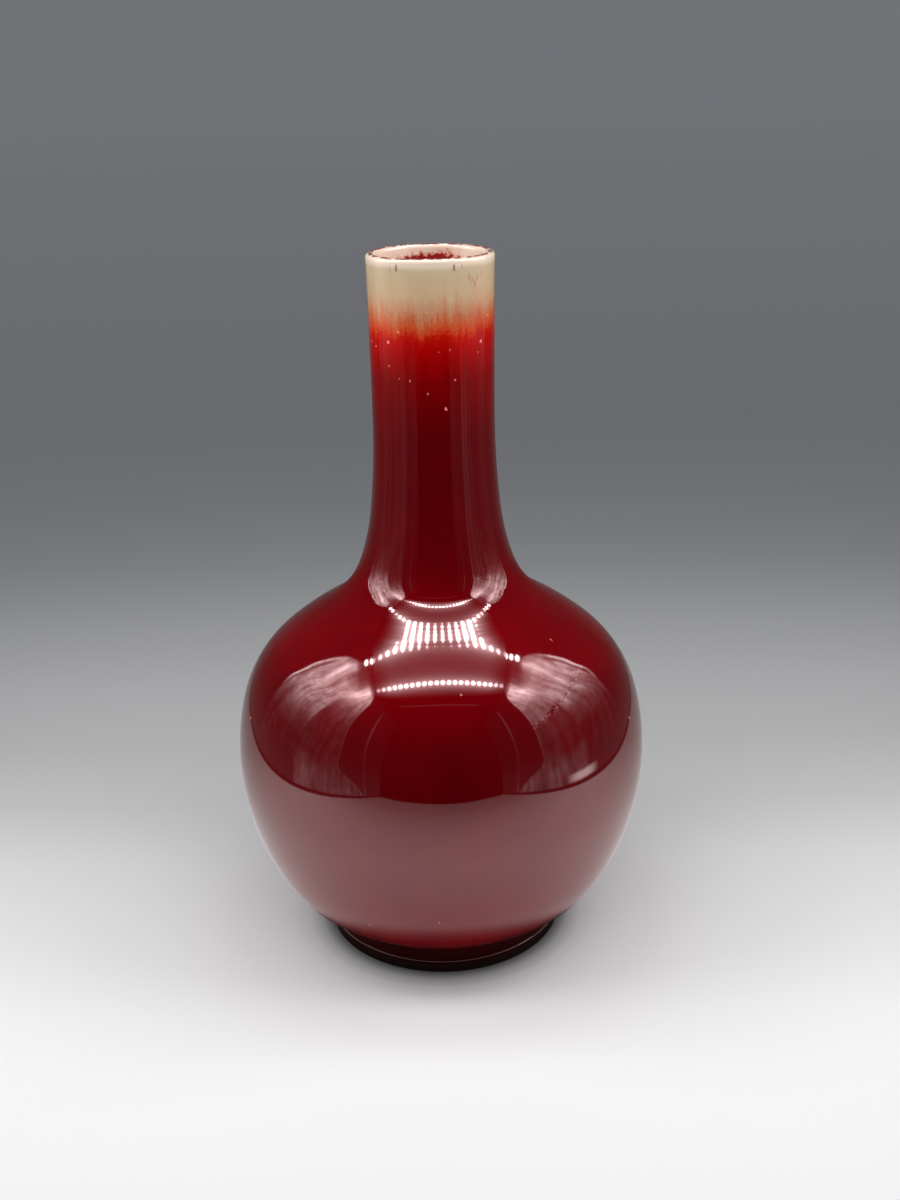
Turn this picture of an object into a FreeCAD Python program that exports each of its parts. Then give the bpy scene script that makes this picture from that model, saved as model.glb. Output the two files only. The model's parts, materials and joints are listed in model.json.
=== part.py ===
import FreeCAD, Part
import math
import os
import Sketcher

# A long-necked bottle vase, thrown in sections and luted together with slip, then glazed.
# Z is up, the foot stands on Z = 0 and every piece is turned about the Z axis.
# The glazed surface is one chain of tangent arcs. Each piece lies at a depth below that surface,
# so walls and glaze coats keep their thickness round every curve.

# Driving sizes in millimetres. A name that ends in angle is in degrees: it is how far the surface
# is tipped from upright where two arcs of the outline meet.
SIZES = {
    # foot ring
    "foot_radius": 66.2,
    "foot_height": 17.3,
    "foot_wall": 7.5,
    "foot_rim": 6.0,
    "foot_edge": 0.6,
    # belly, from the foot up to the widest place
    "seat_angle": 70.7,
    "lower_arc": 135.0,
    "lower_angle": 30.0,
    "widest_radius": 112.8,
    # belly, from the widest place up to the neck
    "upper_arc": 128.0,
    "upper_angle": 15.0,
    "shoulder_arc": 66.0,
    "shoulder_angle": 50.0,
    "slope_angle": 60.0,
    # neck
    "root_arc": 46.0,
    "root_angle": 20.0,
    "lift_arc": 131.0,
    "lift_angle": 6.5,
    "neck_arc": 446.0,
    "neck_radius": 31.6,
    "flare_arc": 4050.0,
    "flare_height": 79.5,
    # thrown walls and floor
    "wall": 4.6,
    "lip_wall": 3.5,
    "floor_thickness": 8.0,
    "floor_curve_share": 0.67,
    # slip between the sections, and glaze
    "slip": 0.8,
    "glaze": 0.5,
    # where the glaze ends on the foot
    "foot_cove": 3.0,
    "bare_foot": 5.0,
    "roll_height": 3.0,
    "roll_swell": 0.6,
    "bare_rim": 3.5,
    "base_cove": 2.0,
}

# Places on the outline, worked out from the driving sizes. The joints are on the glazed surface.
OUTLINE = {
    # the floor's underside lies on the slip on the foot ring
    "base_z": "Sizes.foot_height + Sizes.slip",
    # the hip's arc takes up what is left between the foot ring and the belly's lower arc
    "hip_arc": "(Sizes.widest_radius - Sizes.lower_arc * (1 - cos(Sizes.lower_angle))"
               " - Sizes.foot_radius - Sizes.glaze * cos(Sizes.seat_angle))"
               " / (cos(Sizes.lower_angle) - cos(Sizes.seat_angle))",
    "hip_r": "Sizes.foot_radius - (hip_arc - Sizes.glaze) * cos(Sizes.seat_angle)",
    "hip_z": "base_z + (hip_arc - Sizes.glaze) * sin(Sizes.seat_angle)",
    # the glaze pools in a cove where the hip meets the foot ring
    "cove_angle": "acos((Sizes.foot_radius + Sizes.glaze + Sizes.foot_cove - hip_r)"
                  " / (hip_arc + Sizes.foot_cove))",
    "cove_r": "hip_r + hip_arc * cos(cove_angle)",
    "cove_z": "hip_z - hip_arc * sin(cove_angle)",
    "cove_foot_z": "hip_z - (hip_arc + Sizes.foot_cove) * sin(cove_angle)",
    # joints of the belly
    "low_r": "hip_r + hip_arc * cos(Sizes.lower_angle)",
    "low_z": "hip_z - hip_arc * sin(Sizes.lower_angle)",
    "low_angle": "-Sizes.lower_angle",
    "wide_low_r": "Sizes.widest_radius",
    "wide_low_z": "hip_z + (Sizes.lower_arc - hip_arc) * sin(Sizes.lower_angle)",
    "wide_low_angle": "0",
    "wide_high_r": "Sizes.widest_radius",
    "wide_high_z": "wide_low_z + Sizes.slip",
    "wide_high_angle": "0",
    "upper_r": "Sizes.widest_radius - Sizes.upper_arc * (1 - cos(Sizes.upper_angle))",
    "upper_z": "wide_high_z + Sizes.upper_arc * sin(Sizes.upper_angle)",
    "upper_angle": "Sizes.upper_angle",
    "shoulder_r": "upper_r"
                  " - Sizes.shoulder_arc * (cos(Sizes.upper_angle) - cos(Sizes.shoulder_angle))",
    "shoulder_z": "upper_z"
                  " + Sizes.shoulder_arc * (sin(Sizes.shoulder_angle) - sin(Sizes.upper_angle))",
    "shoulder_angle": "Sizes.shoulder_angle",
    # radii of the neck's joints, from its narrowest place down to the shoulder
    "mid_r": "Sizes.neck_radius + Sizes.neck_arc * (1 - cos(Sizes.lift_angle))",
    "lift_r": "mid_r + Sizes.lift_arc * (cos(Sizes.lift_angle) - cos(Sizes.root_angle))",
    "root_high_r": "lift_r + Sizes.root_arc * (cos(Sizes.root_angle) - cos(Sizes.slope_angle))",
    "root_low_r": "root_high_r + Sizes.slip * sin(Sizes.slope_angle)",
    # this arc takes up what is left between the shoulder and the neck
    "slope_arc": "(shoulder_r - root_low_r)"
                 " / (cos(Sizes.shoulder_angle) - cos(Sizes.slope_angle))",
    # heights and angles of the neck's joints, going up
    "root_low_z": "shoulder_z + slope_arc * (sin(Sizes.slope_angle) - sin(Sizes.shoulder_angle))",
    "root_low_angle": "Sizes.slope_angle",
    "root_high_z": "root_low_z + Sizes.slip * cos(Sizes.slope_angle)",
    "root_high_angle": "Sizes.slope_angle",
    "lift_z": "root_high_z + Sizes.root_arc * (sin(Sizes.slope_angle) - sin(Sizes.root_angle))",
    "lift_angle": "Sizes.root_angle",
    "mid_z": "lift_z + Sizes.lift_arc * (sin(Sizes.root_angle) - sin(Sizes.lift_angle))",
    "mid_angle": "Sizes.lift_angle",
    "waist_r": "Sizes.neck_radius",
    "waist_z": "mid_z + Sizes.neck_arc * sin(Sizes.lift_angle)",
    "waist_angle": "0",
    "flare": "Sizes.flare_arc - sqrt(Sizes.flare_arc ^ 2 - Sizes.flare_height ^ 2)",
    # the lip is a half round over wall and glaze
    "lip_round": "Sizes.lip_wall / 2 + Sizes.glaze",
    "lip_r": "Sizes.neck_radius + flare - lip_round",
    "lip_z": "waist_z + Sizes.flare_height",
    # the floor inside, and the arc that leads to it from a share of the way down the hip
    "inner_hip": "hip_arc - Sizes.glaze - Sizes.wall",
    "floor_z": "base_z + Sizes.floor_thickness",
    "floor_angle": "Sizes.lower_angle + Sizes.floor_curve_share"
                   " * (asin((hip_z - floor_z) / inner_hip) / 1 deg - Sizes.lower_angle)",
    "floor_arc": "(hip_z - floor_z - inner_hip * sin(floor_angle)) / (1 - sin(floor_angle))",
    # the foot ring's inside, narrower at the top
    "foot_top_r": "Sizes.foot_radius - Sizes.foot_wall",
    "foot_rim_r": "Sizes.foot_radius - Sizes.foot_rim",
    "bare_rim_r": "foot_rim_r - (foot_rim_r - foot_top_r) * Sizes.bare_rim / Sizes.foot_height",
    # the roll at the end of the outer glaze is an arc on this chord
    "roll_arc": "(Sizes.roll_height ^ 2 + Sizes.glaze ^ 2) / (8 * Sizes.roll_swell)"
                " + Sizes.roll_swell / 2",
}

OUTWARD = 1
INWARD = -1

# The arcs between the outline's joints, from the foot up: radius, and the way the arc swells.
SPANS = [
    ("low", "wide_low", "Sizes.lower_arc", OUTWARD),
    ("wide_low", "wide_high", None, None),
    ("wide_high", "upper", "Sizes.upper_arc", OUTWARD),
    ("upper", "shoulder", "Sizes.shoulder_arc", OUTWARD),
    ("shoulder", "root_low", "Outline.slope_arc", OUTWARD),
    ("root_low", "root_high", None, None),
    ("root_high", "lift", "Sizes.root_arc", INWARD),
    ("lift", "mid", "Sizes.lift_arc", INWARD),
    ("mid", "waist", "Sizes.neck_arc", INWARD),
]

# How near an edge has to be to the place given for it, as a share of the piece's size
MATCH_SHARE = 1e-6

MM3_PER_CM3 = 1000

# Depths below the glazed surface
SURFACE = "0"
CLAY_OUT = "Sizes.glaze"
CLAY_IN = "(Sizes.glaze + Sizes.wall)"
LINING = "(2 * Sizes.glaze + Sizes.wall)"


def make_sheet(doc, name, cells):
    sheet = doc.addObject("Spreadsheet::Sheet", name)
    for row, (alias, content) in enumerate(cells.items(), 1):
        sheet.set(f"A{row}", alias)
        sheet.set(f"B{row}", content)
        sheet.setAlias(f"B{row}", alias)
    doc.recompute()
    return sheet


# A path is a list of corners (r, z) with an edge between each two: None for a straight line,
# or the arc's radius and the way it swells, seen from the Z axis.
def joint(name, depth):
    return (f"Outline.{name}_r - {depth} * cos(Outline.{name}_angle)",
            f"Outline.{name}_z - {depth} * sin(Outline.{name}_angle)")


def climb(depth, first, last):
    path = [joint(first, depth)]
    names = [span[0] for span in SPANS]
    for start, end, radius, swell in SPANS[names.index(first):]:
        if radius is None:
            edge = None
        elif swell == OUTWARD:
            edge = (f"{radius} - {depth}", OUTWARD)
        else:
            edge = (f"{radius} + {depth}", INWARD)
        path += [edge, joint(end, depth)]
        if end == last:
            return path
    raise ValueError(f"no way from {first} to {last}")


def back(path):
    return path[::-1]


# The hip's arc runs on below the joint named low, at the same depth.
def hip(depth, bottom):
    return [bottom, (f"Outline.hip_arc - {depth}", OUTWARD)]


# The inside from the Z axis over the floor to the joint named low, at a depth of lining.
def floor_path(lining):
    height = f"Outline.floor_z + {lining}"
    curve = f"Outline.inner_hip - {lining}"
    return [("0", height), None,
            ("Outline.hip_r + (Outline.inner_hip - Outline.floor_arc) * cos(Outline.floor_angle)",
             height),
            (f"Outline.floor_arc - {lining}", OUTWARD),
            (f"Outline.hip_r + ({curve}) * cos(Outline.floor_angle)",
             f"Outline.hip_z - ({curve}) * sin(Outline.floor_angle)"),
            (curve, OUTWARD)]


# The mouth's outside or inside, from the neck's narrowest place to the top of the lip.
def mouth_out(depth):
    lip = f"(Outline.lip_round - {depth})"
    return [("Sizes.flare_arc", INWARD),
            (f"Outline.lip_r + {lip}", "Outline.lip_z"), (lip, OUTWARD),
            ("Outline.lip_r", f"Outline.lip_z + {lip}")]


def mouth_in(depth):
    lip = f"(Outline.lip_round - {depth})"
    return [None, (f"Outline.lip_r - {lip}", "Outline.lip_z"), (lip, INWARD),
            ("Outline.lip_r", f"Outline.lip_z + {lip}")]


# The start of an arc from one corner to the next, before its sizes are bound to the sheets
def arc_between(start, end, radius, swell):
    chord = end - start
    side = FreeCAD.Vector(-chord.y, chord.x, 0).normalize()
    if side.x * swell < 0:
        side = side * -1
    sagitta = radius - math.sqrt(max(radius ** 2 - chord.Length ** 2 / 4, 0))
    return Part.Arc(start, (start + end) / 2 + side * sagitta, end)


def draw(sketch, path):
    corners = path[0::2]
    edges = path[1::2] + [None] * (len(path) % 2)
    points = [FreeCAD.Vector(float(sketch.evalExpression(r)), float(sketch.evalExpression(z)), 0)
              for r, z in corners]
    ends = []
    for index, edge in enumerate(edges):
        start = points[index]
        end = points[(index + 1) % len(points)]
        if edge is None:
            geometry = sketch.addGeometry(Part.LineSegment(start, end))
        else:
            radius = float(sketch.evalExpression(edge[0]))
            geometry = sketch.addGeometry(arc_between(start, end, radius, edge[1]))
        first_is_start = (sketch.getPoint(geometry, 1) - start).Length < \
                         (sketch.getPoint(geometry, 2) - start).Length
        ends.append((geometry, 1, 2) if first_is_start else (geometry, 2, 1))
    for index, (geometry, first, last) in enumerate(ends):
        following = ends[(index + 1) % len(ends)]
        sketch.addConstraint(Sketcher.Constraint("Coincident", geometry, last,
                                                 following[0], following[1]))
        bind(sketch, "DistanceY", (geometry, first), points[index].y, corners[index][1])
        if corners[index][0] == "0":
            sketch.addConstraint(Sketcher.Constraint("PointOnObject", geometry, first, -2))
        else:
            bind(sketch, "DistanceX", (geometry, first), points[index].x, corners[index][0])
        if edges[index] is not None:
            radius = float(sketch.evalExpression(edges[index][0]))
            bind(sketch, "Radius", (geometry,), radius, edges[index][0])


def bind(sketch, kind, where, value, formula):
    number = sketch.addConstraint(Sketcher.Constraint(kind, *where, value))
    sketch.setExpression(f"Constraints[{number}]", formula)


# A body turned about the Z axis from one closed section
def turned(doc, name, path):
    body = doc.addObject("PartDesign::Body", f"{name}_body")
    body.Label = name
    upright = next(plane for plane in body.Origin.OriginFeatures if plane.Role == "XZ_Plane")
    sketch = body.newObject("Sketcher::SketchObject", f"{name}_section")
    sketch.AttachmentSupport = [(upright, "")]
    sketch.MapMode = "FlatFace"
    doc.recompute()
    draw(sketch, path)
    doc.recompute()
    if not sketch.FullyConstrained:
        raise RuntimeError(f"{name}: the section isn't fully constrained")
    turn = body.newObject("PartDesign::Revolution", f"{name}_turned")
    turn.Profile = sketch
    turn.ReferenceAxis = (sketch, ["V_Axis"])
    turn.Angle = 360
    sketch.Visibility = False
    doc.recompute()
    return body


# Round the circular edges that lie at the given places (r, z)
def round_edges(doc, body, name, radius, places):
    base = body.Tip
    wanted = [(float(body.evalExpression(r)), float(body.evalExpression(z))) for r, z in places]
    names = []
    for index, edge in enumerate(base.Shape.Edges, 1):
        if not isinstance(edge.Curve, Part.Circle):
            continue
        height = edge.Curve.Center.z
        for r, z in wanted:
            reach = math.hypot(edge.Curve.Radius - r, height - z)
            if reach < base.Shape.BoundBox.DiagonalLength * MATCH_SHARE:
                names.append(f"Edge{index}")
    if len(names) != len(places):
        raise RuntimeError(f"{body.Label}: {len(names)} of {len(places)} edges found")
    fillet = body.newObject("PartDesign::Fillet", name)
    fillet.Base = (base, names)
    fillet.setExpression("Radius", radius)
    doc.recompute()


def make_foot_ring(doc):
    body = turned(doc, "foot_ring", [
        ("Outline.foot_rim_r", "0"), None,
        ("Sizes.foot_radius", "0"), None,
        ("Sizes.foot_radius", "Sizes.foot_height"), None,
        ("Outline.foot_top_r", "Sizes.foot_height"), None])
    round_edges(doc, body, "foot_ring_rim", "Sizes.foot_edge",
                [("Outline.foot_rim_r", "0"), ("Sizes.foot_radius", "0")])
    return body


def make_foot_slip(doc):
    return turned(doc, "foot_slip", [
        ("Outline.foot_top_r", "Sizes.foot_height"), None,
        ("Sizes.foot_radius", "Sizes.foot_height"), None,
        ("Sizes.foot_radius", "Outline.base_z"), None,
        ("Outline.foot_top_r", "Outline.base_z"), None])


def make_lower_belly(doc):
    outside = hip(CLAY_OUT, ("Sizes.foot_radius", "Outline.base_z")) \
        + climb(CLAY_OUT, "low", "wide_low")
    inside = floor_path("0") + climb(CLAY_IN, "low", "wide_low")
    return turned(doc, "lower_belly",
                  outside + [None] + back(inside) + [None, ("0", "Outline.base_z"), None])


def make_upper_belly(doc):
    return turned(doc, "upper_belly",
                  climb(CLAY_OUT, "wide_high", "root_low") + [None]
                  + back(climb(CLAY_IN, "wide_high", "root_low")) + [None])


def make_neck(doc):
    outside = climb(CLAY_OUT, "root_high", "waist") + mouth_out(CLAY_OUT)
    inside = climb(CLAY_IN, "root_high", "waist") + mouth_in(CLAY_OUT)
    return turned(doc, "neck", outside + back(inside)[1:] + [None])


# A ring of slip between two thrown sections, wiped flush inside and out
def make_slip_ring(doc, name, first, last):
    return turned(doc, name, climb(CLAY_OUT, first, last) + [None]
                  + back(climb(CLAY_IN, first, last)) + [None])


def make_outer_glaze(doc):
    foot_out = "Sizes.foot_radius + Sizes.glaze"
    outside = [("Sizes.foot_radius", "Sizes.bare_foot"), ("Outline.roll_arc", OUTWARD),
               (foot_out, "Sizes.bare_foot + Sizes.roll_height"), None,
               (foot_out, "Outline.cove_foot_z"), ("Sizes.foot_cove", INWARD)] \
        + hip(SURFACE, ("Outline.cove_r", "Outline.cove_z")) \
        + climb(SURFACE, "low", "waist") + mouth_out(SURFACE)
    inside = hip(CLAY_OUT, ("Sizes.foot_radius", "Outline.base_z")) \
        + climb(CLAY_OUT, "low", "waist") + mouth_out(CLAY_OUT)
    return turned(doc, "outer_glaze", outside + [None] + back(inside) + [None])


def make_inner_glaze(doc):
    lining = floor_path("Sizes.glaze") + climb(LINING, "low", "waist") + mouth_in(SURFACE)
    clay = floor_path("0") + climb(CLAY_IN, "low", "waist") + mouth_in(CLAY_OUT)
    return turned(doc, "inner_glaze", lining + [None] + back(clay) + [None])


def make_base_glaze(doc):
    underside = "Outline.base_z - Sizes.glaze"
    body = turned(doc, "base_glaze", [
        ("0", underside), None,
        ("Outline.foot_top_r - Sizes.glaze", underside), None,
        ("Outline.bare_rim_r - Sizes.glaze", "Sizes.bare_rim"), None,
        ("Outline.bare_rim_r", "Sizes.bare_rim"), None,
        ("Outline.foot_top_r", "Sizes.foot_height"), None,
        ("Outline.foot_top_r", "Outline.base_z"), None,
        ("0", "Outline.base_z"), None])
    round_edges(doc, body, "base_glaze_cove", "Sizes.base_cove",
                [("Outline.foot_top_r - Sizes.glaze", underside)])
    return body


def check(doc):
    for item in doc.Objects:
        if "Invalid" in item.State or "Error" in item.State:
            raise RuntimeError(f"{item.Label} failed: {item.State}")


def main():
    doc = FreeCAD.newDocument("vase")
    make_sheet(doc, "Sizes", {name: str(size) for name, size in SIZES.items()})
    make_sheet(doc, "Outline", {name: f"={formula}" for name, formula in OUTLINE.items()})
    check(doc)
    pieces = [
        make_foot_ring(doc),
        make_foot_slip(doc),
        make_lower_belly(doc),
        make_slip_ring(doc, "belly_slip", "wide_low", "wide_high"),
        make_upper_belly(doc),
        make_slip_ring(doc, "neck_slip", "root_low", "root_high"),
        make_neck(doc),
        make_outer_glaze(doc),
        make_inner_glaze(doc),
        make_base_glaze(doc),
    ]
    doc.recompute()
    check(doc)
    for piece in pieces:
        if piece.Shape.isNull() or not piece.Shape.isValid() or len(piece.Shape.Solids) != 1:
            raise RuntimeError(f"{piece.Label} isn't one valid solid")
    os.makedirs("parts", exist_ok=True)
    for piece in pieces:
        piece.Shape.exportStep(f"parts/{piece.Label}.step")
        box = piece.Shape.optimalBoundingBox(False)
        print(f"{piece.Label}: {piece.Shape.Volume / MM3_PER_CM3:.1f} cm3,"
              f" radius {box.XMax:.2f}, z {box.ZMin:.2f} to {box.ZMax:.2f}")


main()
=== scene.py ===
import json
import math

import bmesh
import bpy
from mathutils import Matrix, Vector

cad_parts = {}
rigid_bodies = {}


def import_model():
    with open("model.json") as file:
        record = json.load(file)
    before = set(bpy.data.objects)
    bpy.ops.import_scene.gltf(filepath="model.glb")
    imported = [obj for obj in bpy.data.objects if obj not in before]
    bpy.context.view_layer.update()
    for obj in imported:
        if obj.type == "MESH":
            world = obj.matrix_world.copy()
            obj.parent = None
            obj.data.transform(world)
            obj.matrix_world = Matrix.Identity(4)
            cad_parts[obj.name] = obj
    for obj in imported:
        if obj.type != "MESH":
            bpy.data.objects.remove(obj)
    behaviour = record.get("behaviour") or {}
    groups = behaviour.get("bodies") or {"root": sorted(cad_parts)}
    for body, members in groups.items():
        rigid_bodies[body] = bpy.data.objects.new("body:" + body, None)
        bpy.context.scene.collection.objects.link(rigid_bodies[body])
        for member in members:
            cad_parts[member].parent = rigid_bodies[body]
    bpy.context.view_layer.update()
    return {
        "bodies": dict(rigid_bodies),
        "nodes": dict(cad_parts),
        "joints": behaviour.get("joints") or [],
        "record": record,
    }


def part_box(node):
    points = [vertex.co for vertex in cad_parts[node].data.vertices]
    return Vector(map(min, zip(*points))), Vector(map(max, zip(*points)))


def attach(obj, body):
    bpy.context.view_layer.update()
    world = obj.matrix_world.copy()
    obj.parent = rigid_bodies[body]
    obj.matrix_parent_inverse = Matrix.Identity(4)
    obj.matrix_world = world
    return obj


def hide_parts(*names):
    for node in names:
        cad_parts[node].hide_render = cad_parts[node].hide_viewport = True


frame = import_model()
mm = 0.001
print("frame loaded")


# camera, where the photo was taken from

cameraSetup = {
    "place": (0.0065, -0.711, 0.469),
    "pitch": 21.15,     # degrees below the horizon
    "roll": -1.16,
    "lens": 42.0,
}

cameraData = bpy.data.cameras.new("photoCamera")
cameraData.lens = cameraSetup["lens"]
cameraData.sensor_width = 36.0
cameraData.sensor_fit = "AUTO"
cameraObject = bpy.data.objects.new("photoCamera", cameraData)
bpy.context.scene.collection.objects.link(cameraObject)
cameraObject.matrix_world = (
    Matrix.Translation(cameraSetup["place"])
    @ Matrix.Rotation(math.radians(90 - cameraSetup["pitch"]), 4, "X")
    @ Matrix.Rotation(math.radians(cameraSetup["roll"]), 4, "Z"))
bpy.context.scene.camera = cameraObject
print("camera placed")


# outline of the vase in millimetres, drawn on the XZ plane and turned about Z
# tilt is how far the surface faces up, in degrees; an arc has its radius, negative where it
# bends inward, and where it has two numbers the second is the tilt that it ends at

vase = {
    "seatTilt": -70.7,      # where the belly meets the foot
    "hipTilt": -30.0,
    "lowerArc": 135.0,
    "upperArc": (128.0, 15.0),
    "shoulderArc": (66.0, 50.0),
    "slopeTilt": 60.0,
    "rootArc": (-46.0, 20.0),
    "liftArc": (-131.0, 6.5),
    "neckArc": (-446.0, 0.0),
    "neckRadius": 31.6,
    "flareArc": 4050.0,
    "flareHeight": 79.5,
    "slip": 0.8,
    "wall": 4.6,
    "lipWall": 3.5,
    "glaze": 0.5,
    "floorThickness": 8.0,
    "floorCurveShare": 0.67,
    "turnSteps": 192,
}


def cosine(degrees):
    return math.cos(math.radians(degrees))


def sine(degrees):
    return math.sin(math.radians(degrees))


footSlipLow, footSlipHigh = (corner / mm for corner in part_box("foot_slip"))
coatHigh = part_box("outer_glaze")[1] / mm
footRadius = footSlipHigh.x
footHeight = footSlipLow.z
floorUnder = footSlipHigh.z
clayDepth = vase["glaze"]
insideDepth = vase["glaze"] + vase["wall"]
liningDepth = insideDepth + vase["glaze"]

# the hip's arc takes up what is left between the foot and the belly's lower arc
hipArc = (coatHigh.x - vase["lowerArc"] * (1 - cosine(vase["hipTilt"]))
          - footRadius - vase["glaze"] * cosine(vase["seatTilt"])) \
    / (cosine(vase["hipTilt"]) - cosine(vase["seatTilt"]))
hipRadius = footRadius - (hipArc - clayDepth) * cosine(vase["seatTilt"])
hipHeight = floorUnder - (hipArc - clayDepth) * sine(vase["seatTilt"])

# the arc between shoulder and neck takes up what is left there
upperSwell, upperTilt = vase["upperArc"]
shoulderSwell, shoulderTilt = vase["shoulderArc"]
rootSwell, rootTilt = vase["rootArc"]
liftSwell, liftTilt = vase["liftArc"]
neckSwell, neckTilt = vase["neckArc"]
shoulderRadius = coatHigh.x - upperSwell * (1 - cosine(upperTilt)) \
    - shoulderSwell * (cosine(upperTilt) - cosine(shoulderTilt))
rootRadius = vase["neckRadius"] - neckSwell * (1 - cosine(liftTilt)) \
    - liftSwell * (cosine(liftTilt) - cosine(rootTilt)) \
    - rootSwell * (cosine(rootTilt) - cosine(vase["slopeTilt"])) \
    + vase["slip"] * sine(vase["slopeTilt"])
slopeArc = (shoulderRadius - rootRadius) / (cosine(shoulderTilt) - cosine(vase["slopeTilt"]))

lipRound = vase["lipWall"] / 2 + vase["glaze"]
lipHeight = coatHigh.z - lipRound
flareTilt = -math.degrees(math.asin(vase["flareHeight"] / vase["flareArc"]))
lipRadius = vase["neckRadius"] + vase["flareArc"] * (1 - cosine(flareTilt)) - lipRound

# the inside runs on down the hip, then over a tighter arc to the floor
innerHip = hipArc - insideDepth
floorTop = floorUnder + vase["floorThickness"]
floorTilt = vase["hipTilt"] + vase["floorCurveShare"] * (
    -math.degrees(math.asin((hipHeight - floorTop) / innerHip)) - vase["hipTilt"])
floorArc = (hipHeight - floorTop + innerHip * sine(floorTilt)) / (1 + sine(floorTilt))


def startLine(mesh, radius, height, tilt):
    return {"mesh": mesh, "tip": mesh.verts.new((radius, 0, height)), "tilt": tilt}


def lineTo(line, radius, height):
    tip = line["mesh"].verts.new((radius, 0, height))
    line["mesh"].edges.new((line["tip"], tip))
    line["tip"] = tip


def runOn(line, length):
    facing = math.radians(line["tilt"])
    lineTo(line, line["tip"].co.x - length * math.sin(facing),
           line["tip"].co.z + length * math.cos(facing))


# a lone vertex is spun into an arc that leaves the line without a corner
def arcOn(line, swell, tilt, chord):
    facing = Vector((cosine(line["tilt"]), 0, sine(line["tilt"])))
    sweep = math.radians(tilt - line["tilt"])
    steps = max(3, math.ceil(abs(sweep * swell) / chord))
    spun = bmesh.ops.spin(line["mesh"], geom=[line["tip"]], cent=line["tip"].co - facing * swell,
                          axis=(0, -1, 0), dvec=(0, 0, 0), angle=sweep, steps=steps,
                          use_merge=False, use_normal_flip=False, use_duplicate=False)
    line["tip"] = next(item for item in spun["geom_last"] if isinstance(item, bmesh.types.BMVert))
    line["tilt"] = tilt


# the same climb is drawn at each depth below the glazed surface
def climbToWaist(line, depth, chord):
    arcOn(line, vase["lowerArc"] - depth, 0, chord)
    runOn(line, vase["slip"])
    arcOn(line, upperSwell - depth, upperTilt, chord)
    arcOn(line, shoulderSwell - depth, shoulderTilt, chord)
    arcOn(line, slopeArc - depth, vase["slopeTilt"], chord)
    runOn(line, vase["slip"])
    arcOn(line, rootSwell - depth, rootTilt, chord)
    arcOn(line, liftSwell - depth, liftTilt, chord)
    arcOn(line, neckSwell - depth, neckTilt, chord)


def turnOutline(mesh, name, material, replaced):
    bmesh.ops.spin(mesh, geom=mesh.verts[:] + mesh.edges[:], cent=(0, 0, 0), axis=(0, 0, 1),
                   dvec=(0, 0, 0), angle=math.tau, steps=vase["turnSteps"], use_merge=True,
                   use_normal_flip=False, use_duplicate=False)
    bmesh.ops.remove_doubles(mesh, verts=mesh.verts[:], dist=0.001)
    bmesh.ops.recalc_face_normals(mesh, faces=mesh.faces[:])
    bmesh.ops.scale(mesh, vec=(mm, mm, mm), verts=mesh.verts[:])
    for face in mesh.faces:
        face.smooth = True
    data = bpy.data.meshes.new(name)
    mesh.to_mesh(data)
    mesh.free()
    data.set_sharp_from_angle(angle=math.radians(20))
    data.materials.append(material)
    piece = bpy.data.objects.new(name, data)
    bpy.context.scene.collection.objects.link(piece)
    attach(piece, "root")
    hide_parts(replaced)
    return piece


# small helpers for the materials

def addNode(tree, kind, links=None, **settings):
    made = tree.nodes.new("ShaderNode" + kind)
    for name, value in settings.items():
        setattr(made, name, value)
    for socket, value in (links or {}).items():
        if isinstance(value, bpy.types.NodeSocket):
            tree.links.new(value, made.inputs[socket])
        else:
            made.inputs[socket].default_value = value
    return made


def compute(tree, operation, first, second=0.0, third=0.0, clamp=False):
    made = addNode(tree, "Math", {0: first, 1: second, 2: third}, operation=operation)
    made.use_clamp = clamp
    return made.outputs[0]


def vectorMath(tree, operation, first, second=None, scale=None):
    links = {0: first}
    if second is not None:
        links[1] = second
    if scale is not None:
        links["Scale"] = scale
    return addNode(tree, "VectorMath", links, operation=operation).outputs[0]


def speckle(tree, place, scale, detail=2.0, roughness=0.5):
    return addNode(tree, "TexNoise", {"Vector": place, "Scale": scale, "Detail": detail,
                                      "Roughness": roughness}).outputs["Fac"]


def colourRamp(tree, factor, stops):
    made = addNode(tree, "ValToRGB", {"Fac": factor})
    ramp = made.color_ramp
    while len(ramp.elements) < len(stops):
        ramp.elements.new(1.0)
    for element, (position, colour) in zip(ramp.elements, stops):
        element.position = position
        element.color = (*colour, 1.0)
    return made.outputs["Color"]


def stopsAlong(tree, value, stops, colour=(1.0, 1.0, 1.0)):
    low, high = stops[0][0], stops[-1][0]
    share = compute(tree, "DIVIDE", compute(tree, "SUBTRACT", value, low), high - low, clamp=True)
    return colourRamp(tree, share, [((at - low) / (high - low), [tone * part for part in colour])
                                    for at, tone in stops])


def blendColours(tree, factor, first, second, mode="MIX"):
    made = addNode(tree, "Mix", data_type="RGBA", blend_type=mode)
    for socket, value in zip((made.inputs[0], made.inputs[6], made.inputs[7]),
                             (factor, first, second)):
        if isinstance(value, bpy.types.NodeSocket):
            tree.links.new(value, socket)
        else:
            socket.default_value = value if isinstance(value, float) else (*value, 1.0)
    return made.outputs[2]


def newMaterial(name):
    material = bpy.data.materials.new(name)
    material.use_nodes = True
    tree = material.node_tree
    return material, tree, tree.nodes["Principled BSDF"]


# the copper-red coat
# Heights are in millimetres above the table. Streaks follow the surface up and down, because
# their pattern is laid on the direction from the axis and on the height.
# A mark is its angle from the front toward +X in degrees, its height, size and strength.

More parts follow.
